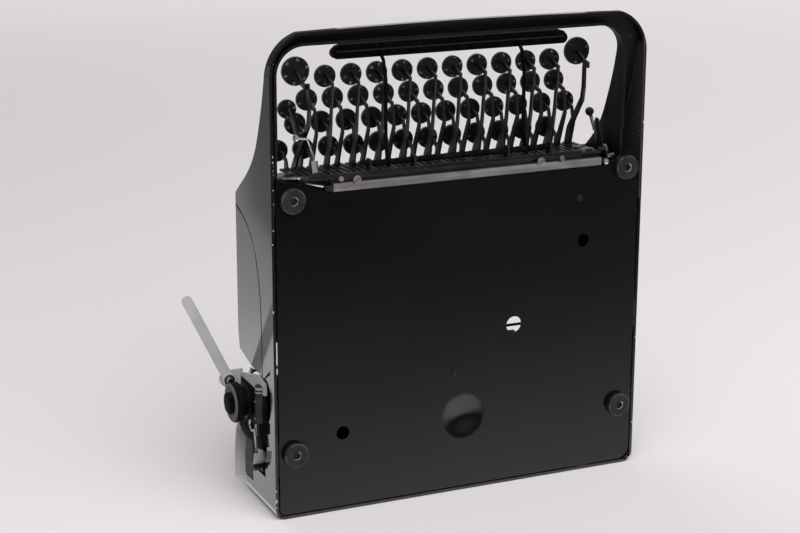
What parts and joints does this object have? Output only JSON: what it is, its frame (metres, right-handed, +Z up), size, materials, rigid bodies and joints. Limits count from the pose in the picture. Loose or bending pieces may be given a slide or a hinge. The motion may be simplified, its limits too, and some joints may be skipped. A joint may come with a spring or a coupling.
{
  "type": "manual typewriter",
  "caption": "Portable manual typewriter: low black shell with an open keyboard frame, round keys on flat levers, lift-off ribbon cover and a sliding carriage with platen and return lever.",
  "frame": {"origin": "centre of the bounding box at the height of the undersides of the feet", "axes": "+X to the typist's right, +Y from the keyboard to the rear, +Z up"},
  "size_m": [0.3438, 0.336, 0.0899],
  "materials": {
    "shell_paint": "gloss black enamel",
    "plate_paint": "satin black enamel",
    "foot_rubber": "dull dark grey rubber",
    "dark_steel": "blackened steel",
    "bare_steel": "bare steel, dulled",
    "bright_chrome": "bright plate",
    "grey_paint": "light grey enamel, satin",
    "key_plastic": "black, half gloss",
    "platen_rubber": "hard black rubber"
  },
  "bodies": {
    "machine": {"body_shell": "shell_paint", "bottom_plate": "plate_paint", "rubber_feet": "foot_rubber", "chassis_frame": "dark_steel", "front_rail": "bare_steel", "key_comb": "dark_steel", "fulcrum_rod": "bare_steel", "type_segment": "bare_steel", "type_bars": "dark_steel"},
    "cover": {"ribbon_cover": "shell_paint"},
    "lift": {"carriage_rail": "bare_steel"},
    "carriage": {"carriage_frame": "dark_steel", "carriage_ends": "grey_paint", "paper_table": "grey_paint"},
    "roller": {"platen": "platen_rubber", "platen_knobs": "key_plastic"},
    "return": {"return_lever": "bright_chrome"},
    "paper_release": {"paper_release_lever": "bright_chrome"},
    "carriage_release": {"carriage_release_lever": "bright_chrome"},
    "spool_left": {"ribbon_spool_left": "dark_steel"},
    "spool_right": {"ribbon_spool_right": "dark_steel"},
    "drum": {"spring_drum": "bare_steel"},
    "wheel": {"escapement_wheel": "bare_steel"},
    "space": {"space_bar": "key_plastic"},
    "shift": {"shift_frame": "key_plastic"},
    "colour": {"colour_lever": "bright_chrome"},
    "number_row": {"number_row_keys": "key_plastic"},
    "key_z_01": {"key_z_01": "key_plastic"},
    "key_z_02": {"key_z_02": "key_plastic"},
    "key_z_03": {"key_z_03": "key_plastic"},
    "key_z_04": {"key_z_04": "key_plastic"},
    "key_z_05": {"key_z_05": "key_plastic"},
    "key_z_06": {"key_z_06": "key_plastic"},
    "key_z_07": {"key_z_07": "key_plastic"},
    "key_z_08": {"key_z_08": "key_plastic"},
    "key_z_09": {"key_z_09": "key_plastic"},
    "key_z_10": {"key_z_10": "key_plastic"},
    "key_a_01": {"key_a_01": "key_plastic"},
    "key_a_02": {"key_a_02": "key_plastic"},
    "key_a_03": {"key_a_03": "key_plastic"},
    "key_a_04": {"key_a_04": "key_plastic"},
    "key_a_05": {"key_a_05": "key_plastic"},
    "key_a_06": {"key_a_06": "key_plastic"},
    "key_a_07": {"key_a_07": "key_plastic"},
    "key_a_08": {"key_a_08": "key_plastic"},
    "key_a_09": {"key_a_09": "key_plastic"},
    "key_a_10": {"key_a_10": "key_plastic"},
    "key_a_11": {"key_a_11": "key_plastic"},
    "key_q_01": {"key_q_01": "key_plastic"},
    "key_q_02": {"key_q_02": "key_plastic"},
    "key_q_03": {"key_q_03": "key_plastic"},
    "key_q_04": {"key_q_04": "key_plastic"},
    "key_q_05": {"key_q_05": "key_plastic"},
    "key_q_06": {"key_q_06": "key_plastic"},
    "key_q_07": {"key_q_07": "key_plastic"},
    "key_q_08": {"key_q_08": "key_plastic"},
    "key_q_09": {"key_q_09": "key_plastic"},
    "key_q_10": {"key_q_10": "key_plastic"},
    "key_q_11": {"key_q_11": "key_plastic"},
    "key_q_12": {"key_q_12": "key_plastic"}
  },
  "joints": [
    {"name": "cover_lift", "type": "slide", "parent": "machine", "child": "cover", "axis": [0, 0, 1], "range_m": [0, 0.06]},
    {"name": "carriage_lift", "type": "slide", "parent": "machine", "child": "lift", "axis": [0, 0, 1], "range_m": [0, 0.006]},
    {"name": "carriage_slide", "type": "slide", "parent": "lift", "child": "carriage", "axis": [1, 0, 0], "range_m": [-0.11, 0.11]},
    {"name": "platen_turn", "type": "hinge", "parent": "carriage", "child": "roller", "pos_m": [0.0065, 0.098, 0.0575], "axis": [1, 0, 0], "continuous": true},
    {"name": "return_swing", "type": "hinge", "parent": "carriage", "child": "return", "pos_m": [-0.1425, 0.086, 0.0725], "axis": [0, 0, 1], "range_deg": [0, 35]},
    {"name": "paper_release_turn", "type": "hinge", "parent": "carriage", "child": "paper_release", "pos_m": [0.1475, 0.12, 0.0655], "axis": [1, 0, 0], "range_deg": [0, 22]},
    {"name": "carriage_release_turn", "type": "hinge", "parent": "carriage", "child": "carriage_release", "pos_m": [-0.1345, 0.112, 0.0345], "axis": [1, 0, 0], "range_deg": [-10, 0], "stiffness_Nm_per_rad": 0.05, "springref_deg": 17.19},
    {"name": "spool_left_turn", "type": "hinge", "parent": "machine", "child": "spool_left", "pos_m": [-0.0935, 0.01, 0.0535], "axis": [0, 0, 1], "continuous": true},
    {"name": "spool_right_turn", "type": "hinge", "parent": "machine", "child": "spool_right", "pos_m": [0.1065, 0.01, 0.0535], "axis": [0, 0, 1], "continuous": true},
    {"name": "drum_turn", "type": "hinge", "parent": "machine", "child": "drum", "pos_m": [-0.0335, 0.1126, 0.0125], "axis": [0, 0, 1], "range_deg": [-450, 450]},
    {"name": "wheel_turn", "type": "hinge", "parent": "machine", "child": "wheel", "pos_m": [0.0465, 0.1188, 0.0185], "axis": [0, 1, 0], "range_deg": [-720, 720]},
    {"name": "space_press", "type": "hinge", "parent": "machine", "child": "space", "pos_m": [0.0065, -0.0745, 0.011], "axis": [1, 0, 0], "range_deg": [0, 5], "stiffness_Nm_per_rad": 0.05, "springref_deg": -17.19},
    {"name": "shift_press", "type": "hinge", "parent": "machine", "child": "shift", "pos_m": [0.0065, 0.034, 0.0165], "axis": [1, 0, 0], "range_deg": [0, 5]},
    {"name": "colour_tilt", "type": "hinge", "parent": "machine", "child": "colour", "pos_m": [0.1285, -0.058, 0.0245], "axis": [1, 0, 0], "range_deg": [-8, 8]},
    {"name": "number_row_press", "type": "hinge", "parent": "machine", "child": "number_row", "pos_m": [0.0065, 0.034, 0.0165], "axis": [1, 0, 0], "range_deg": [0, 4.5], "stiffness_Nm_per_rad": 0.6, "springref_deg": -17.19},
    {"name": "press_z_01", "type": "hinge", "parent": "machine", "child": "key_z_01", "pos_m": [-0.08261, 0.034, 0.0165], "axis": [1, 0, 0], "range_deg": [0, 4.5], "stiffness_Nm_per_rad": 0.05, "springref_deg": -17.19},
    {"name": "press_z_02", "type": "hinge", "parent": "machine", "child": "key_z_02", "pos_m": [-0.06381, 0.034, 0.0165], "axis": [1, 0, 0], "range_deg": [0, 4.5], "stiffness_Nm_per_rad": 0.05, "springref_deg": -17.19},
    {"name": "press_z_03", "type": "hinge", "parent": "machine", "child": "key_z_03", "pos_m": [-0.04501, 0.034, 0.0165], "axis": [1, 0, 0], "range_deg": [0, 4.5], "stiffness_Nm_per_rad": 0.05, "springref_deg": -17.19},
    {"name": "press_z_04", "type": "hinge", "parent": "machine", "child": "key_z_04", "pos_m": [-0.02621, 0.034, 0.0165], "axis": [1, 0, 0], "range_deg": [0, 4.5], "stiffness_Nm_per_rad": 0.05, "springref_deg": -17.19},
    {"name": "press_z_05", "type": "hinge", "parent": "machine", "child": "key_z_05", "pos_m": [-0.00741, 0.034, 0.0165], "axis": [1, 0, 0], "range_deg": [0, 4.5], "stiffness_Nm_per_rad": 0.05, "springref_deg": -17.19},
    {"name": "press_z_06", "type": "hinge", "parent": "machine", "child": "key_z_06", "pos_m": [0.01139, 0.034, 0.0165], "axis": [1, 0, 0], "range_deg": [0, 4.5], "stiffness_Nm_per_rad": 0.05, "springref_deg": -17.19},
    {"name": "press_z_07", "type": "hinge", "parent": "machine", "child": "key_z_07", "pos_m": [0.03019, 0.034, 0.0165], "axis": [1, 0, 0], "range_deg": [0, 4.5], "stiffness_Nm_per_rad": 0.05, "springref_deg": -17.19},
    {"name": "press_z_08", "type": "hinge", "parent": "machine", "child": "key_z_08", "pos_m": [0.04899, 0.034, 0.0165], "axis": [1, 0, 0], "range_deg": [0, 4.5], "stiffness_Nm_per_rad": 0.05, "springref_deg": -17.19},
    {"name": "press_z_09", "type": "hinge", "parent": "machine", "child": "key_z_09", "pos_m": [0.06779, 0.034, 0.0165], "axis": [1, 0, 0], "range_deg": [0, 4.5], "stiffness_Nm_per_rad": 0.05, "springref_deg": -17.19},
    {"name": "press_z_10", "type": "hinge", "parent": "machine", "child": "key_z_10", "pos_m": [0.08659, 0.034, 0.0165], "axis": [1, 0, 0], "range_deg": [0, 4.5], "stiffness_Nm_per_rad": 0.05, "springref_deg": -17.19},
    {"name": "press_a_01", "type": "hinge", "parent": "machine", "child": "key_a_01", "pos_m": [-0.09201, 0.034, 0.0165], "axis": [1, 0, 0], "range_deg": [0, 4.5], "stiffness_Nm_per_rad": 0.05, "springref_deg": -17.19},
    {"name": "press_a_02", "type": "hinge", "parent": "machine", "child": "key_a_02", "pos_m": [-0.07321, 0.034, 0.0165], "axis": [1, 0, 0], "range_deg": [0, 4.5], "stiffness_Nm_per_rad": 0.05, "springref_deg": -17.19},
    {"name": "press_a_03", "type": "hinge", "parent": "machine", "child": "key_a_03", "pos_m": [-0.05441, 0.034, 0.0165], "axis": [1, 0, 0], "range_deg": [0, 4.5], "stiffness_Nm_per_rad": 0.05, "springref_deg": -17.19},
    {"name": "press_a_04", "type": "hinge", "parent": "machine", "child": "key_a_04", "pos_m": [-0.03561, 0.034, 0.0165], "axis": [1, 0, 0], "range_deg": [0, 4.5], "stiffness_Nm_per_rad": 0.05, "springref_deg": -17.19},
    {"name": "press_a_05", "type": "hinge", "parent": "machine", "child": "key_a_05", "pos_m": [-0.01681, 0.034, 0.0165], "axis": [1, 0, 0], "range_deg": [0, 4.5], "stiffness_Nm_per_rad": 0.05, "springref_deg": -17.19},
    {"name": "press_a_06", "type": "hinge", "parent": "machine", "child": "key_a_06", "pos_m": [0.00199, 0.034, 0.0165], "axis": [1, 0, 0], "range_deg": [0, 4.5], "stiffness_Nm_per_rad": 0.05, "springref_deg": -17.19},
    {"name": "press_a_07", "type": "hinge", "parent": "machine", "child": "key_a_07", "pos_m": [0.02079, 0.034, 0.0165], "axis": [1, 0, 0], "range_deg": [0, 4.5], "stiffness_Nm_per_rad": 0.05, "springref_deg": -17.19},
    {"name": "press_a_08", "type": "hinge", "parent": "machine", "child": "key_a_08", "pos_m": [0.03959, 0.034, 0.0165], "axis": [1, 0, 0], "range_deg": [0, 4.5], "stiffness_Nm_per_rad": 0.05, "springref_deg": -17.19},
    {"name": "press_a_09", "type": "hinge", "parent": "machine", "child": "key_a_09", "pos_m": [0.05839, 0.034, 0.0165], "axis": [1, 0, 0], "range_deg": [0, 4.5], "stiffness_Nm_per_rad": 0.05, "springref_deg": -17.19},
    {"name": "press_a_10", "type": "hinge", "parent": "machine", "child": "key_a_10", "pos_m": [0.07719, 0.034, 0.0165], "axis": [1, 0, 0], "range_deg": [0, 4.5], "stiffness_Nm_per_rad": 0.05, "springref_deg": -17.19},
    {"name": "press_a_11", "type": "hinge", "parent": "machine", "child": "key_a_11", "pos_m": [0.09599, 0.034, 0.0165], "axis": [1, 0, 0], "range_deg": [0, 4.5], "stiffness_Nm_per_rad": 0.05, "springref_deg": -17.19},
    {"name": "press_q_01", "type": "hinge", "parent": "machine", "child": "key_q_01", "pos_m": [-0.09671, 0.034, 0.0165], "axis": [1, 0, 0], "range_deg": [0, 4.5], "stiffness_Nm_per_rad": 0.05, "springref_deg": -17.19},
    {"name": "press_q_02", "type": "hinge", "parent": "machine", "child": "key_q_02", "pos_m": [-0.07791, 0.034, 0.0165], "axis": [1, 0, 0], "range_deg": [0, 4.5], "stiffness_Nm_per_rad": 0.05, "springref_deg": -17.19},
    {"name": "press_q_03", "type": "hinge", "parent": "machine", "child": "key_q_03", "pos_m": [-0.05911, 0.034, 0.0165], "axis": [1, 0, 0], "range_deg": [0, 4.5], "stiffness_Nm_per_rad": 0.05, "springref_deg": -17.19},
    {"name": "press_q_04", "type": "hinge", "parent": "machine", "child": "key_q_04", "pos_m": [-0.04031, 0.034, 0.0165], "axis": [1, 0, 0], "range_deg": [0, 4.5], "stiffness_Nm_per_rad": 0.05, "springref_deg": -17.19},
    {"name": "press_q_05", "type": "hinge", "parent": "machine", "child": "key_q_05", "pos_m": [-0.02151, 0.034, 0.0165], "axis": [1, 0, 0], "range_deg": [0, 4.5], "stiffness_Nm_per_rad": 0.05, "springref_deg": -17.19},
    {"name": "press_q_06", "type": "hinge", "parent": "machine", "child": "key_q_06", "pos_m": [-0.00271, 0.034, 0.0165], "axis": [1, 0, 0], "range_deg": [0, 4.5], "stiffness_Nm_per_rad": 0.05, "springref_deg": -17.19},
    {"name": "press_q_07", "type": "hinge", "parent": "machine", "child": "key_q_07", "pos_m": [0.01609, 0.034, 0.0165], "axis": [1, 0, 0], "range_deg": [0, 4.5], "stiffness_Nm_per_rad": 0.05, "springref_deg": -17.19},
    {"name": "press_q_08", "type": "hinge", "parent": "machine", "child": "key_q_08", "pos_m": [0.03489, 0.034, 0.0165], "axis": [1, 0, 0], "range_deg": [0, 4.5], "stiffness_Nm_per_rad": 0.05, "springref_deg": -17.19},
    {"name": "press_q_09", "type": "hinge", "parent": "machine", "child": "key_q_09", "pos_m": [0.05369, 0.034, 0.0165], "axis": [1, 0, 0], "range_deg": [0, 4.5], "stiffness_Nm_per_rad": 0.05, "springref_deg": -17.19},
    {"name": "press_q_10", "type": "hinge", "parent": "machine", "child": "key_q_10", "pos_m": [0.07249, 0.034, 0.0165], "axis": [1, 0, 0], "range_deg": [0, 4.5], "stiffness_Nm_per_rad": 0.05, "springref_deg": -17.19},
    {"name": "press_q_11", "type": "hinge", "parent": "machine", "child": "key_q_11", "pos_m": [0.09129, 0.034, 0.0165], "axis": [1, 0, 0], "range_deg": [0, 4.5], "stiffness_Nm_per_rad": 0.05, "springref_deg": -17.19},
    {"name": "press_q_12", "type": "hinge", "parent": "machine", "child": "key_q_12", "pos_m": [0.11009, 0.034, 0.0165], "axis": [1, 0, 0], "range_deg": [0, 4.5], "stiffness_Nm_per_rad": 0.05, "springref_deg": -17.19}
  ],
  "couplings": [
    {"joint": "shift_press", "follows": "carriage_lift", "rad_per_m": 14.5},
    {"joint": "drum_turn", "follows": "carriage_slide", "rad_per_m": 68.9},
    {"joint": "wheel_turn", "follows": "carriage_slide", "rad_per_m": 90}
  ]
}
